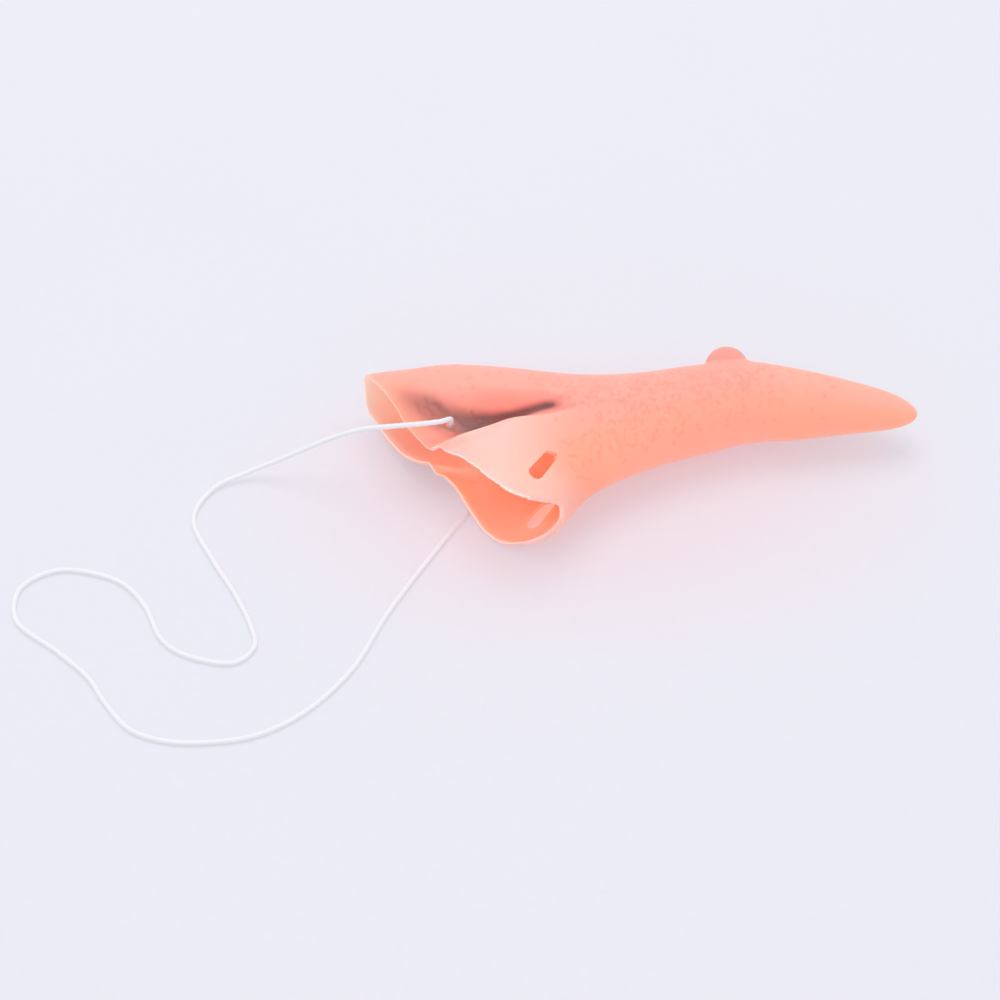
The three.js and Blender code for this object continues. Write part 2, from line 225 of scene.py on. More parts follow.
# Mesh steps
BASE_RINGS = 170
SHAFT_RINGS = 115
TIP_RINGS = 46
UPPER_STEPS = 150
LOWER_STEPS = 90
LINING_RINGS = 56
LINING_END = 0.97
LIP_RINGS = 4
LIP_SHARES = np.arange(1, LIP_RINGS + 1) / (LIP_RINGS + 1)
SKIN_CORNER_RINGS = 10
LINING_CORNER_RINGS = 3
CORNER_ROUNDS = 40
STEADY_RINGS = 4
LINING_ROUNDS = 6
LINE_SAMPLES = 24
FRAME_STEP = 0.01
SHARP_ANGLE = math.radians(48)
SHELL_SEED = 11


def unit(v):
    return v / np.maximum(np.linalg.norm(v, axis=-1, keepdims=True), 1e-12)


def smooth_step(low, high, value):
    t = np.clip((value - low) / (high - low), 0.0, 1.0)
    return t * t * (3.0 - 2.0 * t)


def run_along(path):
    """Distance along a path at each of its points."""
    return np.concatenate([[0.0], np.cumsum(np.linalg.norm(np.diff(path, axis=0), axis=1))])


def between(points, axis):
    """Middle of each point's two neighbours round a ring."""
    return (np.roll(points, 1, axis=axis) + np.roll(points, -1, axis=axis)) / 2


def search_tree(points):
    tree = KDTree(len(points))
    for k, point in enumerate(points):
        tree.insert(point, k)
    tree.balance()
    return tree


# Blended sections

def blended_columns():
    """Section table as centre, lean and squared sizes, with its knots and slopes."""
    s = dict(zip(COLUMNS, SECTIONS.T))
    across = s["ventral_x"] - s["dorsal_x"]
    down = s["dorsal_y"] - s["ventral_y"]
    lean = np.arctan2(across, down)
    lean[-1] = lean[-2]
    out = {name: s[name] for name in COLUMNS[6:]}
    out.update(x=(s["dorsal_x"] + s["ventral_x"]) / 2, y=(s["dorsal_y"] + s["ventral_y"]) / 2,
               half2=(across ** 2 + down ** 2) / 4, lean=lean, bridge2=s["bridge"] ** 2,
               wing2=s["wing"] ** 2)
    spans = np.hypot(np.diff(out["x"]), np.diff(out["y"]))
    knots = np.concatenate([[0.0], np.cumsum(spans)]) / spans.sum()
    gaps = np.diff(knots)
    slopes = {}
    for name, values in out.items():
        rise = np.diff(values) / gaps
        inner = (rise[:-1] * gaps[1:] + rise[1:] * gaps[:-1]) / (gaps[:-1] + gaps[1:])
        slopes[name] = np.concatenate([rise[:1], inner, rise[-1:]])
    return out, knots, slopes


STATIONS, KNOTS, SLOPES = blended_columns()


def section_at(along):
    i = np.clip(np.searchsorted(KNOTS, along, side="right") - 1, 0, len(KNOTS) - 2)
    h = KNOTS[i + 1] - KNOTS[i]
    s = (along - KNOTS[i]) / h
    stay = 2 * s ** 3 - 3 * s ** 2 + 1
    leave = (s ** 3 - 2 * s ** 2 + s) * h
    reach = (s ** 3 - s ** 2) * h
    return {name: (stay * v[i] + leave * SLOPES[name][i] + (1 - stay) * v[i + 1]
                   + reach * SLOPES[name][i + 1])
            for name, v in STATIONS.items()}


def skin(along, around, side):
    """Points of the outer skin in the nose's own frame, millimetres."""
    along, around, side = np.broadcast_arrays(np.asarray(along, float), around, side)
    s = section_at(along)
    sine = 2 * np.sqrt(np.maximum(around * (1 - around), 0))
    low = smooth_step(0.2, 0.8, around)
    bridge = np.sqrt(np.maximum(s["bridge2"], 0))
    wing = np.sqrt(np.maximum(s["wing2"], 0))
    square = s["dorsal_box"] + (s["ventral_box"] - s["dorsal_box"]) * low
    flank = np.where(around < s["crease_at"], s["crease_dorsal"], s["crease_ventral"])
    fold = s["crease_depth"] * np.exp(-((around - s["crease_at"]) / flank) ** 2)
    step = (around - s["tuck_at"]) / TUCK_SPAN
    overhang = s["tuck"] * step * np.exp(-step * step)
    width = np.maximum((bridge + (wing - bridge) * low) * sine ** square - fold + overhang, 0)
    jog = (around - s["crease_at"]) / RIM_JOG_SPAN
    back = s["reach"] * (around ** 0.75 * (1 - around ** RIM_END) - RIM_JOG * jog * np.exp(-jog * jog))
    rise = (1 - 2 * around) * np.sqrt(np.maximum(s["half2"], 0))
    sin, cos = np.sin(s["lean"]), np.cos(s["lean"])
    return np.stack([s["x"] - sin * rise - cos * back, s["y"] + cos * rise - sin * back, side * width], -1)


def even_around(along, steps):
    """Places round each ring at even distances, from the dorsum to the underside."""
    s = np.linspace(0, 1, 481)
    around = (1 - np.cos(math.pi * (1 - np.cos(math.pi * s)) / 2)) / 2
    points = skin(along[:, None], around[None, :], 1.0)
    run = np.cumsum(np.linalg.norm(np.diff(points, axis=1), axis=2), axis=1)
    run = np.concatenate([np.zeros((len(along), 1)), run], axis=1) / run[:, -1:]
    want = np.linspace(0, 1, steps + 1)
    return np.array([np.interp(want, r, around) for r in run])


def skin_rings(along):
    """Grid of skin points with their place around, side and outward direction."""
    upper = even_around(along, UPPER_STEPS)[:, :-1]
    lower = even_around(along, LOWER_STEPS)[:, :0:-1]
    around = np.concatenate([upper, lower], axis=1)
    side = np.concatenate([np.ones(UPPER_STEPS), -np.ones(LOWER_STEPS)])[None, :]
    points = skin(along[:, None], around, side)
    girth = np.roll(points, -1, axis=1) - np.roll(points, 1, axis=1)
    outward = unit(np.cross(girth, np.gradient(points, axis=0)))
    return points, around, np.broadcast_to(side, around.shape), outward


def frame_on(spot, side, turn=0.0):
    """Frame on the skin as a 4 by 4 matrix: x along the nose, z straight out."""
    def at(a, b):
        return skin(spot[0] + a, spot[1] + b, side)

    x = at(FRAME_STEP, 0) - at(-FRAME_STEP, 0)
    z = unit(np.cross(at(0, FRAME_STEP) - at(0, -FRAME_STEP), x) * side)
    x = unit(x - z * np.dot(x, z))
    y = np.cross(z, x)
    c, s = math.cos(side * turn), math.sin(side * turn)
    frame4 = np.eye(4)
    frame4[:3, 0] = x * c + y * s
    frame4[:3, 1] = y * c - x * s
    frame4[:3, 2] = z
    frame4[:3, 3] = at(0, 0)
    return frame4


def lying_turn():
    """Turn of the nose from its own frame to the way it lies."""
    cr, sr = math.cos(LYING_ROLL), math.sin(LYING_ROLL)
    cp, sp = math.cos(LYING_PITCH), math.sin(LYING_PITCH)
    roll = np.array([[1, 0, 0], [0, cr, -sr], [0, sr, cr]])
    pitch = np.array([[cp, 0, sp], [0, 1, 0], [-sp, 0, cp]])
    return pitch @ roll


def floor_lift():
    """Height that sets the lowest point of the skin on the floor."""
    rings = skin_rings(np.linspace(0, 0.99, 200))[0]
    return -(rings.reshape(-1, 3) @ lying_turn().T)[:, 2].min()


LIFT = floor_lift()


def to_row(points):
    """Nose frame in millimetres to the row frame in metres."""
    return (np.asarray(points) @ lying_turn().T + (FLOOR_SHIFT[0], FLOOR_SHIFT[1], LIFT)) * MM


# Mesh helpers

def ring_faces(rings, steps, first, inward, pole=None):
    i, j = np.meshgrid(np.arange(rings - 1), np.arange(steps), indexing="ij")
    a = first + i * steps + j
    b = first + i * steps + (j + 1) % steps
    quads = np.stack([a, b, b + steps, a + steps], -1).reshape(-1, 4)
    faces = (quads[:, ::-1] if inward else quads).tolist()
    if pole is not None:
        last = first + (rings - 1) * steps
        ends = [(last + k, last + (k + 1) % steps, pole) for k in range(steps)]
        faces += [f[::-1] for f in ends] if inward else ends
    return faces


def new_object(name, points, faces, smooth=True):
    mesh = bpy.data.meshes.new(name)
    mesh.from_pydata(np.asarray(points).tolist(), [], faces)
    mesh.validate()
    mesh.polygons.foreach_set("use_smooth", np.full(len(mesh.polygons), smooth))
    obj = bpy.data.objects.new(name, mesh)
    bpy.context.scene.collection.objects.link(obj)
    return obj


def point_values(mesh, name, values):
    layer = mesh.attributes.new(name, "FLOAT", "POINT")
    layer.data.foreach_set("value", np.asarray(values, dtype=np.float32))


def tube(path, radius, steps, closed=False, relief=None):
    """Points and faces of a round tube along a path; relief gives a height from angle and distance."""
    path = np.asarray(path, float)
    ahead = unit(np.roll(path, -1, 0) - np.roll(path, 1, 0)) if closed else unit(np.gradient(path, axis=0))
    run = run_along(path)
    side = np.zeros_like(path)
    first = np.cross(ahead[0], (0.0, 0.0, 1.0) if abs(ahead[0][2]) < 0.9 else (1.0, 0.0, 0.0))
    side[0] = unit(first)
    for k in range(1, len(path)):
        side[k] = unit(side[k - 1] - ahead[k] * np.dot(side[k - 1], ahead[k]))
    up = np.cross(ahead, side)
    angle = np.linspace(0, 2 * math.pi, steps, endpoint=False)
    reach = np.full((len(path), steps), radius)
    if relief is not None:
        reach = reach + relief(angle[None, :], run[:, None])
    points = path[:, None] + reach[..., None] * (np.cos(angle)[None, :, None] * side[:, None]
                                                 + np.sin(angle)[None, :, None] * up[:, None])
    points = points.reshape(-1, 3)
    faces = ring_faces(len(path), steps, 0, True)
    last = (len(path) - 1) * steps
    if closed:
        twist = math.atan2(np.dot(side[0], up[-1]), np.dot(side[0], side[-1]))
        shift = int(round(twist / (2 * math.pi) * steps))
        faces += [(last + (k + shift) % steps, k, (k + 1) % steps, last + (k + 1 + shift) % steps)
                  for k in range(steps)]
    else:
        faces.append(tuple(range(steps)))
        faces.append(tuple(last + k for k in reversed(range(steps))))
    return points, faces


def dress(obj, material, slot, *nodes):
    """Gives a piece its finish and its body, and hides the solids that it stands for."""
    obj.data.materials.clear()
    obj.data.materials.append(material)
    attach(obj, BODY)
    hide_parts(*nodes)


# Materials

def grain_group():
    """Soft mottling and fine grain, shared by the vinyl, the elastic and the floor."""
    group = bpy.data.node_groups.get("Fine_Grain")
    if group:
        return group
    group = bpy.data.node_groups.new("Fine_Grain", "ShaderNodeTree")
    for name, value in (("Mottle Scale", 80.0), ("Grain Scale", 1500.0)):
        socket = group.interface.new_socket(name, in_out="INPUT", socket_type="NodeSocketFloat")
        socket.default_value = value
    for name in ("Mottle", "Grain"):
        group.interface.new_socket(name, in_out="OUTPUT", socket_type="NodeSocketFloat")
    entry = group.nodes.new("NodeGroupInput")
    leave = group.nodes.new("NodeGroupOutput")
    place = group.nodes.new("ShaderNodeTexCoord")
    for name, detail in (("Mottle", 3.0), ("Grain", 2.0)):
        noise = group.nodes.new("ShaderNodeTexNoise")
        noise.inputs["Detail"].default_value = detail
        group.links.new(place.outputs["Object"], noise.inputs["Vector"])
        group.links.new(entry.outputs[name + " Scale"], noise.inputs["Scale"])
        group.links.new(noise.outputs["Fac"], leave.inputs[name])
    return group


class Finish:
    """A material under construction: its nodes and its shader."""

    def __init__(self, name):
        self.material = bpy.data.materials.new(name)
        self.material.use_nodes = True
        self.tree = self.material.node_tree
        self.tree.nodes.clear()
        self.shader = self.tree.nodes.new("ShaderNodeBsdfPrincipled")
        output = self.tree.nodes.new("ShaderNodeOutputMaterial")
        self.tree.links.new(self.shader.outputs["BSDF"], output.inputs["Surface"])

    def set(self, **values):
        for name, value in values.items():
            self.shader.inputs[name.replace("_", " ").title().replace("Ior", "IOR")].default_value = value

    def link(self, socket, name):
        self.tree.links.new(socket, self.shader.inputs[name])

    def grain(self, mottle, grain):
        node = self.tree.nodes.new("ShaderNodeGroup")
        node.node_tree = grain_group()
        node.inputs["Mottle Scale"].default_value = mottle
        node.inputs["Grain Scale"].default_value = grain
        return node

    def mask(self, name):
        node = self.tree.nodes.new("ShaderNodeAttribute")
        node.attribute_name = name
        return node.outputs["Fac"]

    def curve(self, socket, low, high, to_low=0.0, to_high=1.0):
        node = self.tree.nodes.new("ShaderNodeMapRange")
        node.inputs["From Min"].default_value = low
        node.inputs["From Max"].default_value = high
        node.inputs["To Min"].default_value = to_low
        node.inputs["To Max"].default_value = to_high
        self.tree.links.new(socket, node.inputs["Value"])
        return node.outputs["Result"]

    def oval(self, centre, reach):
        """Mask of an oval spot, 1 in its middle and 0 at its edge."""
        place = self.tree.nodes.new("ShaderNodeTexCoord")
        fit = self.tree.nodes.new("ShaderNodeMapping")
        spot = self.tree.nodes.new("ShaderNodeTexGradient")
        spot.gradient_type = "SPHERICAL"
        fit.inputs["Location"].default_value = [-c / r for c, r in zip(centre, reach)]
        fit.inputs["Scale"].default_value = [1 / r for r in reach]
        self.tree.links.new(place.outputs["Object"], fit.inputs["Vector"])
        self.tree.links.new(fit.outputs["Vector"], spot.inputs["Vector"])
        return spot.outputs["Fac"]

    def math(self, kind, a, b):
        node = self.tree.nodes.new("ShaderNodeMath")
        node.operation = kind
        for i, value in enumerate((a, b)):
            if isinstance(value, (int, float)):
                node.inputs[i].default_value = value
            else:
                self.tree.links.new(value, node.inputs[i])
        return node.outputs["Value"]

    def layers(self, colour, *coats):
        """Colour with further colours laid over it, each by its mask."""
        below = None
        for coat, mask in coats:
            node = self.tree.nodes.new("ShaderNodeMix")
            node.data_type = "RGBA"
            node.inputs[6].default_value = (*colour, 1.0)
            node.inputs[7].default_value = (*coat, 1.0)
            self.tree.links.new(mask, node.inputs[0])
            if below is not None:
                self.tree.links.new(below, node.inputs[6])
            below = node.outputs[2]
        return below

    def bump(self, height, strength, distance):
        node = self.tree.nodes.new("ShaderNodeBump")
        node.inputs["Strength"].default_value = strength
        node.inputs["Distance"].default_value = distance
        self.tree.links.new(height, node.inputs["Height"])
        self.link(node.outputs["Normal"], "Normal")


def vinyl(settings):
    """Soft skin-coloured vinyl: mottled, flecked, sprayed dark in the creases, with darkened wrinkles, a slit
    of painted shade, a painted highlight on the cut edge, wings paler with painted light and a painted glow
    from within.
    """
    f = Finish("soft_vinyl")
    f.set(subsurface_weight=settings.glow, subsurface_radius=(1.0, 0.6, 0.42),
          subsurface_scale=settings.glow_depth, emission_strength=1.0)
    grain = f.grain(90.0, 2600.0)
    mottle = grain.outputs["Mottle"]
    # Airbrushed dark paint, with the darkened wrinkles and the painted shade of the slit, broken by the
    # mottling
    spray_and_slit_shade = f.math("MULTIPLY", f.mask("spray_and_slit_shade"), f.curve(mottle, 0.3, 0.7, 0.86, 1.0))
    colour = f.layers(settings.skin, (settings.skin_light, f.curve(mottle, 0.35, 0.7, 0.0, 0.35)),
                      (settings.lining, f.mask("lining")), (settings.pale_and_glow, f.mask("pale_and_glow")),
                      (settings.warm_tint_and_glow, f.mask("warm_tint_and_glow")), (settings.wart, f.mask("wart")),
                      (settings.fleck, f.mask("fleck")), (settings.spray_and_slit_shade, spray_and_slit_shade),
                      (settings.edge, f.mask("edge")))
    # Painted glow: emission colours laid by mask, standing in for light passing through the thin walls; none
    # in the sprayed paint, the painted slit shade and the wart
    through = f.layers(settings.skin_painted_glow, (settings.belly_painted_glow, f.mask("painted_underglow")),
                       (settings.lining_painted_glow, f.mask("lining")), (settings.pale_painted_glow, f.mask("pale_and_glow")),
                       (NO_LIGHT, f.mask("spray_and_slit_shade")), (NO_LIGHT, f.mask("wart")))
    f.link(colour, "Base Color")
    f.link(through, "Emission Color")
    f.link(f.curve(grain.outputs["Grain"], 0.3, 0.7, settings.roughness - 0.05, settings.roughness + 0.06),
           "Roughness")
    f.bump(grain.outputs["Grain"], 0.25, 0.00012)
    return f.material


def elastic(settings):
    """White covered elastic with a woven cover and painted shade in its furrows."""
    material = bpy.data.materials.get("elastic")
    if material:
        return material
    f = Finish("elastic")
    f.set(sheen_weight=0.15, sheen_roughness=0.5)
    grain = f.grain(500.0, 6000.0)
    furrow_shade = f.curve(f.mask("furrow_shade"), 0.0, 1.0, 0.0, 0.6)
    f.link(f.layers(settings.colour, (settings.shade, furrow_shade)), "Base Color")
    f.link(f.curve(grain.outputs["Grain"], 0.3, 0.7, 0.62, 0.78), "Roughness")
    f.bump(grain.outputs["Grain"], 0.3, 0.00006)
    return f.material


def board(settings):
    """Pale painted board that glows evenly from within, with painted pink light round the nose and painted
    orange light under the lower nostril.
    """
    f = Finish("pale_board")
    f.set(emission_strength=1.0)
    grain = f.grain(18.0, 420.0)
    # Painted pink light round the nose and painted orange light under the lower nostril
    under = f.curve(f.oval(settings.under_centre, settings.under_reach), 0.0, 0.6)
    core = f.curve(f.oval(settings.core_centre, settings.core_reach), 0.0, 0.5)
    shade = f.curve(grain.outputs["Mottle"], 0.3, 0.75, 0.0, 0.5)
    f.link(f.layers(settings.floor, (settings.floor_shade, shade)), "Base Color")
    glow = f.layers(settings.floor_glow, (settings.under_glow, under), (settings.core_glow, core))
    f.link(glow, "Emission Color")
    f.link(f.curve(grain.outputs["Grain"], 0.3, 0.7, 0.55, 0.7), "Roughness")
    f.bump(grain.outputs["Grain"], 0.2, 0.0003)
    return f.material


# Settings

class ShellSettings(PropertyGroup):
    wall: FloatProperty(
        name="Wall", description="Thickness of the vinyl away from the rim",
        default=1.25 * MM, unit="LENGTH")
    rim_wall: FloatProperty(
        name="Rim wall", description="Thickness of the vinyl at the cut edge",
        default=0.95 * MM, unit="LENGTH")
    tip_wall: FloatProperty(
        name="Tip wall", description="Thickness of the vinyl at the tip", default=2.6 * MM, unit="LENGTH")
    wart_radius: FloatProperty(
        name="Wart radius", description="Radius of the wart at its foot", default=5.7 * MM, unit="LENGTH")
    wart_height: FloatProperty(
        name="Wart height", description="Height of the wart over the skin", default=5.0 * MM, unit="LENGTH")
    nostril_length: FloatProperty(
        name="Nostril length", description="Length of a nostril slot", default=10.6 * MM, unit="LENGTH")
    nostril_width: FloatProperty(
        name="Nostril width", description="Width of a nostril slot", default=4.1 * MM, unit="LENGTH")
    flecks: IntProperty(name="Flecks", description="Number of fine skin lines on each side", default=620)
    roughness: FloatProperty(
        name="Roughness", description="Roughness of the vinyl",
        default=0.5, subtype="FACTOR", min=0.0, max=1.0)
    glow: FloatProperty(
        name="Glow", description="Share of light scattered inside the vinyl",
        default=1.0, subtype="FACTOR", min=0.0, max=1.0)
    glow_depth: FloatProperty(
        name="Glow depth", description="How far light travels inside the vinyl",
        default=5.5 * MM, unit="LENGTH")
    # Painted glow: emission colours of the vinyl that stand in for light passing through its thin walls
    skin_painted_glow: FloatVectorProperty(
        name="Light through, skin", description="Light that comes through the thin wall to the outside",
        subtype="COLOR", default=(0.06, 0.014, 0.006))
    belly_painted_glow: FloatVectorProperty(
        name="Light through, belly", description="Light that comes up through the underside",
        subtype="COLOR", default=(0.17, 0.055, 0.022))
    pale_painted_glow: FloatVectorProperty(
        name="Light through, pale", description="Light that comes through the wings and bridge end",
        subtype="COLOR", default=(0.08, 0.035, 0.03))
    lining_painted_glow: FloatVectorProperty(
        name="Light through, lining", description="Light that comes through the thin wall to the inside",
        subtype="COLOR", default=(0.20, 0.054, 0.026))
    skin: FloatVectorProperty(
        name="Skin", description="Main colour", subtype="COLOR", default=(0.975, 0.42, 0.35))
    skin_light: FloatVectorProperty(
        name="Light skin", description="Mottling", subtype="COLOR", default=(0.98, 0.465, 0.39))
    # Paler tone of the wings, tip, cut corner and inner bridge end; on the wings it is painted light coming
    # through the thin wall, and the same mask lays the painted glow there
    pale_and_glow: FloatVectorProperty(
        name="Pale skin", description="Paler nose wings", subtype="COLOR", default=(0.985, 0.555, 0.50))
    # Orange tone at the bridge end, the root's underside and the tip; along the shaft's underside and deep
    # inside the same colour is painted glow
    warm_tint_and_glow: FloatVectorProperty(
        name="Warm skin", description="Orange tinge", subtype="COLOR", default=(0.975, 0.41, 0.28))
    fleck: FloatVectorProperty(
        name="Flecks", description="Fine skin lines", subtype="COLOR", default=(0.96, 0.28, 0.20))
    lining: FloatVectorProperty(
        name="Lining", description="Unpainted inside", subtype="COLOR", default=(0.98, 0.50, 0.42))
    # Dark airbrushed paint in the creases; the same colour lays the darkened wrinkles and the painted shade
    # along the slit
    spray_and_slit_shade: FloatVectorProperty(
        name="Spray", description="Dark shade in the creases",
        subtype="COLOR", default=(0.03, 0.066, 0.076))
    wart: FloatVectorProperty(
        name="Wart", description="Colour of the wart", subtype="COLOR", default=(0.78, 0.345, 0.29))
    # Cut edge: the paler cut vinyl, with a painted highlight along it
    edge: FloatVectorProperty(
        name="Cut edge", description="Cut edge of the rim", subtype="COLOR", default=(0.98, 0.80, 0.74))


class CordSettings(PropertyGroup):
    diameter: FloatProperty(
        name="Diameter", description="Diameter of the elastic cord", default=1.4 * MM, unit="LENGTH")
    length: FloatProperty(
        name="Length", description="Length of the cord between its knots", default=0.4124, unit="LENGTH")
    knot_radius: FloatProperty(name="Knot", description="Radius of a knot", default=1.9 * MM, unit="LENGTH")
    colour: FloatVectorProperty(
        name="Colour", description="Cover of the cord", subtype="COLOR", default=(0.84, 0.83, 0.90))
    # Painted shade in the furrows of the woven cover
    shade: FloatVectorProperty(
        name="Furrows", description="Furrows of the cover", subtype="COLOR", default=(0.66, 0.64, 0.73))


class StageSettings(PropertyGroup):
    camera: FloatVectorProperty(
        name="Camera", description="Place of the camera",
        subtype="XYZ", unit="LENGTH", default=(-0.03814, -0.48312, 0.67498))
    tilt: FloatProperty(
        name="Tilt", description="Tilt of the camera from straight down",
        subtype="ANGLE", default=math.radians(35.0))
    lens: FloatProperty(
        name="Lens", description="Focal length, millimetres on a 36 mm sensor", default=109.8)
    key_power: FloatProperty(
        name="Key light", description="Power of the large soft light", default=4.5, unit="POWER")
    sky: FloatProperty(name="Fill", description="Strength of the even light all round", default=0.85)
    floor_size: FloatProperty(
        name="Floor size", description="Side of the floor", default=6.0, unit="LENGTH")
    floor: FloatVectorProperty(
        name="Floor", description="Colour of the floor", subtype="COLOR", default=(0.42, 0.42, 0.455))
    floor_shade: FloatVectorProperty(
        name="Floor mottling", description="Second colour of the floor",
        subtype="COLOR", default=(0.405, 0.408, 0.443))
    floor_glow: FloatVectorProperty(
        name="Floor glow", description="Light that comes up through the board",
        subtype="COLOR", default=(0.385, 0.385, 0.42))
    # Painted light on the board: a pink glow round the nose standing in for light bounced from and passed
    # through the vinyl, and an orange glow under the lower nostril
    under_glow: FloatVectorProperty(
        name="Under glow", description="Light on the board round the nose",
        subtype="COLOR", default=(0.42, 0.335, 0.365))
    under_centre: FloatVectorProperty(
        name="Under centre", description="Middle of the board's spot under the nose",
        subtype="XYZ", unit="LENGTH", default=(-0.012, -0.010, 0.0))
    under_reach: FloatVectorProperty(
        name="Under reach", description="Reach of the board's spot under the nose",
        subtype="XYZ", unit="LENGTH", default=(0.105, 0.055, 0.05))
    core_glow: FloatVectorProperty(
        name="Core glow", description="Light on the board below the lower nostril",
        subtype="COLOR", default=(0.66, 0.26, 0.18))
    core_centre: FloatVectorProperty(
        name="Core centre", description="Place below the lower nostril",
        subtype="XYZ", unit="LENGTH", default=(-0.032, -0.013, 0.0))
    core_reach: FloatVectorProperty(
        name="Core reach", description="Reach of the light below the lower nostril",
        subtype="XYZ", unit="LENGTH", default=(0.014, 0.010, 0.02))


class WitchNoseSettings(PropertyGroup):
    shell: PointerProperty(type=ShellSettings)
    cord: PointerProperty(type=CordSettings)
    stage: PointerProperty(type=StageSettings)


# Shell

def on_line(points, line, width):
    """Soft mask of the points near a run of points, 1 on the line and 0 beyond three widths."""
    low, high = line.min(0) - 3 * width, line.max(0) + 3 * width
    near = np.flatnonzero(np.all((points > low) & (points < high), axis=1))
    gap = np.full(len(near), 1e9)
    for a, b in zip(line[:-1], line[1:]):
        ab = b - a
        t = np.clip((points[near] - a) @ ab / max(ab @ ab, 1e-9), 0, 1)
        gap = np.minimum(gap, np.linalg.norm(points[near] - a - t[:, None] * ab, axis=1))
    out = np.zeros(len(points))
    out[near] = np.exp(-(gap / width) ** 2)
    return out


def skin_line(run, side, samples=16):
    run = np.asarray(run, float)
    t = np.linspace(0, len(run) - 1, samples)
    k = np.arange(len(run))
    return skin(np.interp(t, k, run[:, 0]), np.interp(t, k, run[:, 1]), side)


def raise_wart(points, radius, height):
    """Moves the skin round the wart up on to a dome with a soft foot."""
    frame4 = frame_on(WART_SPOT, 1.0)
    local = (points - frame4[:3, 3]) @ frame4[:3, :3]
    r = np.hypot(local[..., 0], local[..., 1])
    zone = radius + WART_FOOT_REACH
    hit = (r < zone) & (local[..., 2] > -WART_DEPTH)
    t = np.linspace(0, math.pi / 2, 60)
    outside = np.linspace(radius, zone, 20)[1:]
    rho = np.concatenate([radius * np.sin(t), outside])
    eta = np.concatenate([height * np.cos(t), np.zeros(len(outside))])
    eta = np.convolve(np.pad(eta, 3, mode="edge"), np.ones(7) / 7, mode="valid")
    foot = WART_FOOT_HEIGHT * np.exp(-((rho - radius) / WART_FOOT_SPREAD) ** 2)
    eta = np.maximum(eta, foot * (rho > radius * 0.8))
    run = run_along(np.stack([rho, eta], -1))
    want = r[hit] / zone * run[-1]
    new_r = np.interp(want, run, rho)
    new_h = np.interp(want, run, eta)
    grow = new_r / np.maximum(r[hit], 1e-6)
    moved = local[hit] * np.stack([grow, grow, grow ** 2], -1)
    moved[:, 2] += new_h
    out = points.copy()
    out[hit] = moved @ frame4[:3, :3].T + frame4[:3, 3]
    mask = np.zeros(points.shape[:-1])
    mask[hit] = smooth_step(0.0, 1.5, new_h)
    return out, mask


def rim_wander(around, side, rng):
    """Small uneven offsets of the cut edge, with the nicks that the knife left."""
    offset = np.zeros(len(around))
    place = around * side
    for count, size in RIM_WAVES:
        offset += size * np.sin(2 * math.pi * (count * place + rng.random()))
    for nick in RIM_NICKS:
        dent = NICK_DEPTH * np.exp(-((around - nick) / NICK_WIDTH) ** 2)
        burr = NICK_RISE * np.exp(-((around - nick - NICK_STEP) / NICK_WIDTH) ** 2)
        offset += np.where(side > 0, dent, 0)
        offset -= np.where(side > 0, burr, 0)
    return offset


def round_corner(points, around, rings):
    """Rounds the underside corner of the cut edge, most on the first ring and less on each after it."""
    for k in range(rings):
        share = 0.5 * (1 - k / rings) * smooth_step(0.78, 0.92, around[k])[:, None]
        for _ in range(CORNER_ROUNDS):
            points[k] += share * (between(points[k], 0) - points[k])


def follow_cut(points, cut):
    """Rings moved with the uneven cut near the rim, and each point's distance from the rim."""
    from_rim = np.linalg.norm(points - points[:1], axis=2)
    return points + cut[None] * np.clip(1 - from_rim / CUT_REACH, 0, 1)[..., None], from_rim


def spray_mask(along, around):
    s = {name: np.interp(along, SPRAY[:, 0], SPRAY[:, k]) for k, name in enumerate(SPRAY_COLUMNS)}
    before = np.minimum(around - s["full"], 0) / s["dorsal_fade"]
    after = np.maximum(around - s["end"], 0) / s["ventral_fade"]
    return s["strength"] * np.exp(-before ** 2 - after ** 2)


def add_flecks(points, count, rng):
    """Mask of the short fine lines in the skin, thick on the shaft's root and thin on bridge and tip."""
    tree = search_tree(points)
    mask = np.zeros(len(points))
    for side in (1.0, -1.0):
        placed = 0
        while placed < count:
            a, t = rng.uniform(*FLECK_ALONG), rng.uniform(*FLECK_AROUND)
            turn, bend = rng.uniform(*FLECK_TURN), rng.uniform(*FLECK_BEND)
            size, chance = rng.uniform(*FLECK_SIZE), rng.random()
            want = 0.06 + smooth_step(0.14, 0.3, a) * (1 - smooth_step(0.58, 0.74, a)) + 0.25 * (t < 0.35)
            if chance > want:
                continue
            placed += 1
            frame4 = frame_on((a, t), side)
            s = np.linspace(-1, 1, 5)[:, None]
            heading = frame4[:3, 0] * math.cos(turn) + frame4[:3, 1] * math.sin(turn)
            cross = np.cross(frame4[:3, 2], heading)
            line = frame4[:3, 3] + heading * s * size + cross * bend * size * s * s
            near = [k for _, k, _ in tree.find_range(Vector(frame4[:3, 3]), size * 1.3 + 0.9)]
            if near:
                fleck = on_line(points[near], line, FLECK_WIDTH) * rng.uniform(*FLECK_STRENGTH)
                mask[near] = np.maximum(mask[near], fleck)
    return mask


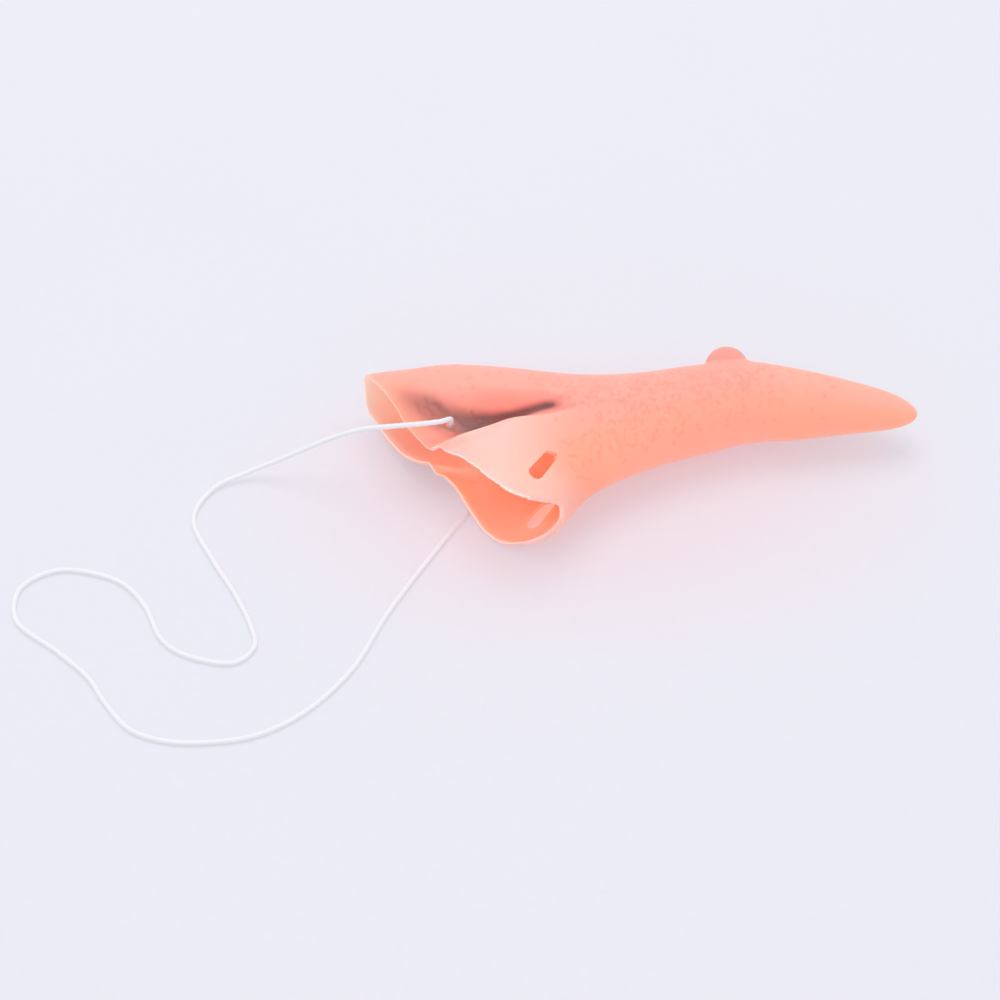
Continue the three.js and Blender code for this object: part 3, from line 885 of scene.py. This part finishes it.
def press_lines(points, flecks, rng):
    """Depth of the lines pressed into the skin, the darkening of the wrinkles with the painted shade of the
    slit, and the tint of the strokes and flecks.
    """
    dip, dark_wrinkles_and_slit_shade, fleck = np.zeros((3, len(points)))
    for side in (1.0, -1.0):
        for depth, width, run in WRINKLES:
            hit = on_line(points, skin_line(run, side), width)
            dip += depth * hit
            dark_wrinkles_and_slit_shade = np.maximum(dark_wrinkles_and_slit_shade, WRINKLE_DARKENING * hit)
        # Painted shade in the slit along the fold over the wing
        for strength, width, run in SLIT_SHADE:
            hit = on_line(points, skin_line(run, side, LINE_SAMPLES), width)
            dark_wrinkles_and_slit_shade = np.maximum(dark_wrinkles_and_slit_shade, strength * hit)
        for run in STROKES:
            hit = on_line(points, skin_line(run, side, LINE_SAMPLES), STROKE_WIDTH)
            dip += STROKE_DEPTH * hit
            fleck = np.maximum(fleck, STROKE_TINT * hit)
    scattered = add_flecks(points, flecks, rng)
    dip += FLECK_DEPTH * scattered
    return dip, dark_wrinkles_and_slit_shade, np.maximum(fleck, FLECK_TINT * scattered)


def skin_masks(a, t, side, from_rim, dark_wrinkles_and_slit_shade, fleck, wart):
    """Masks of the skin, from the places along and around the nose."""
    # Paler wings: painted light coming through the thin wing wall
    wing = (1 - smooth_step(0.06, 0.23, a)) * smooth_step(0.44, 0.5, t)
    wing = wing * (1 - 0.35 * smooth_step(0.92, 1.0, t))
    root = np.exp(-((a - 0.17) / 0.09) ** 2) * smooth_step(0.6, 0.9, t)
    bridge_rim = np.exp(-(a / 0.03) ** 2) * smooth_step(0.05, 0.2, t) * (1 - smooth_step(0.3, 0.4, t))
    tip_half = smooth_step(0.6, 0.74, a)
    shaft = smooth_step(0.16, 0.3, a)
    # Painted light on the underside, strongest along the shaft: it drives the painted glow from below and
    # part of the orange tone
    painted_underglow = smooth_step(0.5, 0.9, t) * (0.35 + 0.65 * shaft)
    # Orange tone at the root's underside, the bridge end and the tip, with painted orange glow along the
    # shaft's underside
    warm_tint_and_glow = np.clip(0.8 * root + 0.5 * bridge_rim + 0.4 * shaft * painted_underglow, 0, 1)
    # Whitish line along the rim, stronger on the upper side near the wing: painted highlight on the rounded
    # cut edge
    near_wing = smooth_step(0.78, 0.86, t) * (side > 0)
    rim_highlight = np.exp(-(from_rim / (0.2 + 0.2 * near_wing)) ** 2) * smooth_step(0.38, 0.5, t) * (t < 0.92)
    return {
        # Airbrushed paint in the creases, with the darkened wrinkles and the painted shade of the slit laid
        # over it
        "spray_and_slit_shade": 1 - (1 - spray_mask(a, t)) * (1 - dark_wrinkles_and_slit_shade),
        "fleck": fleck,
        "pale_and_glow": np.clip(wing + 0.35 * tip_half, 0, 1),
        "warm_tint_and_glow": np.clip(warm_tint_and_glow + 0.45 * tip_half, 0, 1),
        "painted_underglow": painted_underglow,
        "lining": np.zeros(len(a)),
        "edge": (0.5 + 0.4 * near_wing) * rim_highlight,
        "wart": WART_TINT * wart,
    }


def lining_rings(settings, cut):
    """Inside of the shell, a wall's thickness in from the skin, with its places along and around."""
    s = np.linspace(0, 1, LINING_RINGS + 1)[:-1]
    along = LINING_END * (s * s * (3 - 2 * s) + 0.6 * s * (1 - s) ** 2)
    points, around, _, outward = skin_rings(along)
    wall, rim_wall = settings.wall / MM, settings.rim_wall / MM
    depth = wall * (1 - (1 - rim_wall / wall) * np.exp(-along / RIM_TAPER))
    near_rim = np.arange(LINING_RINGS) < STEADY_RINGS
    steady = smooth_step(0.8, 0.92, around)[..., None] * near_rim[:, None, None]
    outward = unit(outward + steady * (outward[STEADY_RINGS] - outward))
    points = points - outward * depth[:, None, None]
    for _ in range(LINING_ROUNDS):
        points[1:] += 0.5 * (between(points, 1) - points)[1:]
    round_corner(points, around, LINING_CORNER_RINGS)
    return follow_cut(points, cut)[0], np.repeat(along, around.shape[1]), around.ravel()


def lining_masks(a, t):
    return {
        "lining": np.ones(len(a)),
        # Painted orange glow deeper in and lower down inside
        "warm_tint_and_glow": smooth_step(0.02, 0.14, a) * smooth_step(0.4, 0.8, t),
        "pale_and_glow": np.exp(-(a / 0.06) ** 2) * (1 - smooth_step(0.25, 0.5, t)),
    }


def lip_rings(outer_rim, inner_rim, ahead, around):
    """Cut edge between skin and lining, a little rounded."""
    lip = []
    for u in LIP_SHARES:
        bulge = LIP_BULGE * math.sin(math.pi * u) * (1 - 0.85 * smooth_step(0.85, 0.95, around))
        lip.append(outer_rim * (1 - u) + inner_rim * u - ahead * bulge[:, None])
    return np.array(lip)


def lip_masks(around, side):
    """Masks of the cut edge: a white painted highlight outside on the near side and inside on the far side,
    white all over the corner.
    """
    across = np.repeat(LIP_SHARES, len(around))
    corner = np.tile(smooth_step(0.88, 0.95, around), LIP_RINGS)
    faint = np.tile(0.5 + 0.5 * smooth_step(0.38, 0.5, around), LIP_RINGS)
    outer_line = faint * np.exp(-((across - 0.2) / 0.25) ** 2)
    inner_line = np.exp(-((across - 0.8) / 0.24) ** 2)
    inside = np.maximum(corner, np.tile(side < 0, LIP_RINGS))
    white = np.maximum(outer_line + (inner_line - outer_line) * inside, 0.85 * corner)
    return {"edge": white, "pale_and_glow": corner, "lining": smooth_step(0.3, 0.8, across) * (1 - corner)}


def shell_mesh(settings):
    """Points, faces and masks of the whole shell in the nose's own frame, millimetres."""
    rng = np.random.default_rng(SHELL_SEED)
    tip = 1 - 0.1 * (1 - np.linspace(0, 1, TIP_RINGS)) ** 2
    along = np.concatenate([np.linspace(0, 0.45, BASE_RINGS), np.linspace(0.45, 0.9, SHAFT_RINGS)[1:],
                            tip[1:-1]])
    points, around, side, outward = skin_rings(along)
    rings, steps = around.shape
    round_corner(points, around, SKIN_CORNER_RINGS)
    ahead = unit(points[1] - points[0])
    cut = ahead * rim_wander(around[0], side[0], rng)[:, None]
    points, from_rim = follow_cut(points, cut)
    points, wart = raise_wart(points, settings.wart_radius / MM, settings.wart_height / MM)
    skin_points = points.reshape(-1, 3)
    dip, dark_wrinkles_and_slit_shade, fleck = press_lines(skin_points, settings.flecks, rng)
    skin_points = skin_points - outward.reshape(-1, 3) * dip[:, None]

    inner, inner_along, inner_around = lining_rings(settings, cut)
    lip = lip_rings(points[0], inner[0], ahead, around[0])
    skin_pole = skin(1.0, 0.5, 1.0)
    inner_pole = skin_pole - (settings.tip_wall / MM, 0, 0)
    all_points = np.concatenate([skin_points, skin_pole[None], lip.reshape(-1, 3), inner.reshape(-1, 3),
                                 inner_pole[None]])
    lip_first = len(skin_points) + 1
    inner_first = lip_first + LIP_RINGS * steps
    faces = ring_faces(rings, steps, 0, False, len(skin_points))
    faces += ring_faces(LINING_RINGS, steps, inner_first, True, len(all_points) - 1)
    bands = [0] + [lip_first + k * steps for k in range(LIP_RINGS)] + [inner_first]
    for first, second in zip(bands[:-1], bands[1:]):
        faces += [(first + j, second + j, second + (j + 1) % steps, first + (j + 1) % steps)
                  for j in range(steps)]

    flat_along = np.repeat(along, steps)
    on_skin = skin_masks(flat_along, around.ravel(), side.ravel(), from_rim.ravel(), dark_wrinkles_and_slit_shade, fleck,
                         wart.ravel())
    on_lip = lip_masks(around[0], side[0])
    in_hollow = lining_masks(inner_along, inner_around)
    masks = {}
    for name, values in on_skin.items():
        lip_values = on_lip.get(name, np.zeros(LIP_RINGS * steps))
        inner_values = in_hollow.get(name, np.zeros(len(inner_along)))
        masks[name] = np.concatenate([values, [0.0], lip_values, inner_values, inner_values[-1:]])
    return all_points, faces, masks


def nostril_outline(settings, rng):
    """Outline of a nostril slot: one round end, one torn end and a small step on one side."""
    r = settings.nostril_width / MM / 2
    half = settings.nostril_length / MM / 2 - r
    out = []
    for t in np.linspace(0, 2 * math.pi, NOSTRIL_STEPS, endpoint=False):
        x = r * math.cos(t) + (half if math.cos(t) > 0 else -half)
        y = r * math.sin(t)
        if math.cos(t) > 0.25:
            x += rng.uniform(*NOSTRIL_TEAR)
        if x > NOSTRIL_STEP_FROM and y < -0.5 * r:
            y += NOSTRIL_STEP
        out.append((x, y))
    return out


def hole_outline():
    """Outline of a cord hole, not quite round."""
    turns = np.linspace(0, 2 * math.pi, HOLE_STEPS, endpoint=False)
    radii = HOLE_RADIUS * (1 + HOLE_WAVE * np.sin(3 * turns))
    return list(zip(radii * np.cos(turns), radii * np.sin(turns)))


def cutter(name, outline, frame4, low, high):
    ring = len(outline)
    local = np.array([(x, y, z) for z in (low, high) for x, y in outline])
    points = to_row(local @ frame4[:3, :3].T + frame4[:3, 3])
    faces = [(j, (j + 1) % ring, ring + (j + 1) % ring, ring + j) for j in range(ring)]
    faces += [tuple(reversed(range(ring))), tuple(range(ring, 2 * ring))]
    return new_object(name, points, faces, smooth=False)


def pierce(obj, cutters):
    for tool in cutters:
        cut = obj.modifiers.new(tool.name, "BOOLEAN")
        cut.operation = "DIFFERENCE"
        cut.solver = "MANIFOLD"
        cut.object = tool
    graph = bpy.context.evaluated_depsgraph_get()
    mesh = bpy.data.meshes.new_from_object(obj.evaluated_get(graph))
    obj.modifiers.clear()
    obj.data = mesh
    for tool in cutters:
        bpy.data.objects.remove(tool)


class WITCHNOSE_OT_shell(Operator):
    """Build the hollow vinyl nose with its wart, creases, nostrils and cord holes"""
    bl_idname = "witch_nose.shell"
    bl_label = "Nose shell"

    def execute(self, context):
        settings = context.scene.witch_nose.shell
        points, faces, masks = shell_mesh(settings)
        obj = new_object("nose_skin", to_row(points), faces)
        before = search_tree([v.co for v in obj.data.vertices])
        cutters = []
        for side, seed in NOSTRIL_SEEDS:
            rng = np.random.default_rng(seed)
            slot_frame = frame_on(NOSTRIL_SPOT, side, NOSTRIL_TURN)
            cutters.append(cutter("nostril_cutter", nostril_outline(settings, rng), slot_frame, *NOSTRIL_CUT))
            cutters.append(cutter("hole_cutter", hole_outline(), hole_frame(side), *HOLE_CUT))
        pierce(obj, cutters)
        nearest = np.array([before.find(v.co)[1] for v in obj.data.vertices])
        for name, values in masks.items():
            point_values(obj.data, name, values[nearest])
        obj.data.polygons.foreach_set("use_smooth", np.full(len(obj.data.polygons), True))
        obj.data.set_sharp_from_angle(angle=SHARP_ANGLE)
        dress(obj, vinyl(settings), "soft_vinyl", "nose_shell")
        return {"FINISHED"}


# Cord

def hole_frame(side):
    return frame_on(UPPER_HOLE if side > 0 else LOWER_HOLE, side)


def hole_axis(side, distance):
    """Point in the row frame on the axis of a cord hole, at a distance out from the skin in millimetres."""
    frame4 = hole_frame(side)
    return to_row(frame4[:3, 3] + frame4[:3, 2] * distance)


def cord_line(wall, spacing):
    """Centripetal curve through the hole ends and the route, at even steps."""
    ends = -(wall / MM + CORD_GAP)
    points = [hole_axis(1.0, ends), hole_axis(1.0, CORD_LEAD), *map(np.array, CORD_ROUTE),
              hole_axis(-1.0, LOWER_LEAD), hole_axis(-1.0, ends)]
    points = [2 * points[0] - points[1], *points, 2 * points[-1] - points[-2]]
    fine = []
    for p0, p1, p2, p3 in zip(points, points[1:], points[2:], points[3:]):
        d0, d1, d2 = (math.sqrt(np.linalg.norm(b - a)) for a, b in ((p0, p1), (p1, p2), (p2, p3)))
        m1 = ((p1 - p0) / d0 - (p2 - p0) / (d0 + d1) + (p2 - p1) / d1) * d1
        m2 = ((p2 - p1) / d1 - (p3 - p1) / (d1 + d2) + (p3 - p2) / d2) * d1
        s = np.linspace(0, 1, 60, endpoint=False)[:, None]
        fine.append((2 * s ** 3 - 3 * s ** 2 + 1) * p1 + (s ** 3 - 2 * s ** 2 + s) * m1
                    + (3 * s ** 2 - 2 * s ** 3) * p2 + (s ** 3 - s ** 2) * m2)
    fine = np.concatenate(fine + [points[-2][None]])
    run = run_along(fine)
    want = np.linspace(0, run[-1], int(run[-1] / spacing) + 1)
    return np.stack([np.interp(want, run, fine[:, k]) for k in range(3)], -1)


def braid(angle, run):
    """Height of the woven cover, metres."""
    wind = 2 * math.pi * run / BRAID_PITCH
    turn = BRAID_STRANDS * angle
    return BRAID_HEIGHT * np.maximum(np.cos(turn + wind), np.cos(turn - wind))


def knot_loop(centre, size):
    """Closed line of a trefoil knot round a centre."""
    t = np.linspace(0, 2 * math.pi, KNOT_LENGTH_STEPS, endpoint=False)
    loop = np.stack([np.sin(t) + 2 * np.sin(2 * t), np.cos(t) - 2 * np.cos(2 * t), -1.6 * np.sin(3 * t)], -1)
    return centre + loop * size / 3.0


class WITCHNOSE_OT_cord(Operator):
    """Build the elastic cord along its route, with a knot inside each hole"""
    bl_idname = "witch_nose.cord"
    bl_label = "Elastic cord"

    def execute(self, context):
        settings = context.scene.witch_nose.cord
        wall = context.scene.witch_nose.shell.wall
        line = cord_line(wall, CORD_SPACING)
        points, faces = tube(line, settings.diameter / 2 - BRAID_ROOM, CORD_STEPS, relief=braid)
        cord = new_object("head_cord", points, faces)
        run = np.repeat(np.arange(len(line)) * CORD_SPACING, CORD_STEPS)
        angle = np.tile(np.linspace(0, 2 * math.pi, CORD_STEPS, endpoint=False), len(line))
        # Painted shade, darkest deep in the furrows of the weave
        furrow_shade = np.clip(0.5 - braid(angle, run) / (2 * BRAID_HEIGHT), 0, 1)
        point_values(cord.data, "furrow_shade", furrow_shade)
        finish = elastic(settings)
        dress(cord, finish, "elastic", "elastic_cord")
        for name, node, side in (("upper_cord_knot", "upper_knot", 1.0),
                                 ("lower_cord_knot", "lower_knot", -1.0)):
            centre = hole_axis(side, -(wall / MM + 2 * CORD_GAP + settings.knot_radius / MM))
            loop = knot_loop(centre, settings.knot_radius - KNOT_ROOM)
            points, faces = tube(loop, KNOT_STRAND, KNOT_STEPS, closed=True)
            knot = new_object(name, points, faces)
            point_values(knot.data, "furrow_shade", np.zeros(len(points)))
            dress(knot, finish, "elastic", node)
        exit_point = tuple(float(v) for v in hole_axis(1.0, 0.0))
        return {"FINISHED"}


# Camera and stage

class WITCHNOSE_OT_camera(Operator):
    """Set the camera"""
    bl_idname = "witch_nose.camera"
    bl_label = "Camera"

    def execute(self, context):
        settings = context.scene.witch_nose.stage
        data = bpy.data.cameras.new("camera")
        data.sensor_width = 36.0
        data.lens = settings.lens
        data.clip_start = 0.01
        camera = bpy.data.objects.new("camera", data)
        camera.location = settings.camera
        camera.rotation_euler = (settings.tilt, 0.0, 0.0)
        context.scene.collection.objects.link(camera)
        context.scene.camera = camera
        return {"FINISHED"}


class WITCHNOSE_OT_stage(Operator):
    """Lay the whitish floor and set the soft studio light"""
    bl_idname = "witch_nose.stage"
    bl_label = "Floor and light"

    def execute(self, context):
        settings = context.scene.witch_nose.stage
        context.scene.view_settings.view_transform = "Standard"
        half = settings.floor_size / 2
        corners = [(-half, -half, 0), (half, -half, 0), (half, half, 0), (-half, half, 0)]
        floor = new_object("floor", corners, [(0, 1, 2, 3)], smooth=False)
        floor.data.materials.append(board(settings))
        light = bpy.data.lights.new("key", "AREA")
        light.shape = "DISK"
        light.size = KEY_SIZE
        light.energy = settings.key_power
        key = bpy.data.objects.new("key", light)
        key.location = KEY_PLACE
        key.rotation_euler = (Vector(KEY_AIM) - key.location).to_track_quat("-Z", "Y").to_euler()
        context.scene.collection.objects.link(key)
        world = bpy.data.worlds.new("studio")
        world.use_nodes = True
        sky = world.node_tree.nodes["Background"]
        sky.inputs["Color"].default_value = SKY_COLOUR
        sky.inputs["Strength"].default_value = settings.sky
        context.scene.world = world
        return {"FINISHED"}


class VIEW3D_PT_witch_nose(Panel):
    """Pieces of the witch nose"""
    bl_label = "Witch Nose"
    bl_space_type = "VIEW_3D"
    bl_region_type = "UI"
    bl_category = "Witch Nose"

    def draw(self, context):
        for operator in OPERATORS:
            self.layout.operator(operator.bl_idname)
        settings = context.scene.witch_nose
        for group in (settings.shell, settings.cord, settings.stage):
            box = self.layout.box()
            for name in group.__annotations__:
                box.prop(group, name)


OPERATORS = (WITCHNOSE_OT_camera, WITCHNOSE_OT_cord, WITCHNOSE_OT_shell, WITCHNOSE_OT_stage)
CLASSES = (ShellSettings, CordSettings, StageSettings, WitchNoseSettings, *OPERATORS, VIEW3D_PT_witch_nose)


def register():
    for cls in CLASSES:
        bpy.utils.register_class(cls)
    bpy.types.Scene.witch_nose = PointerProperty(type=WitchNoseSettings)


def unregister():
    del bpy.types.Scene.witch_nose
    for cls in reversed(CLASSES):
        bpy.utils.unregister_class(cls)


def main():
    register()
    bpy.ops.witch_nose.camera()
    bpy.ops.witch_nose.cord()
    bpy.ops.witch_nose.shell()
    bpy.ops.witch_nose.stage()


if __name__ == "__main__":
    main()
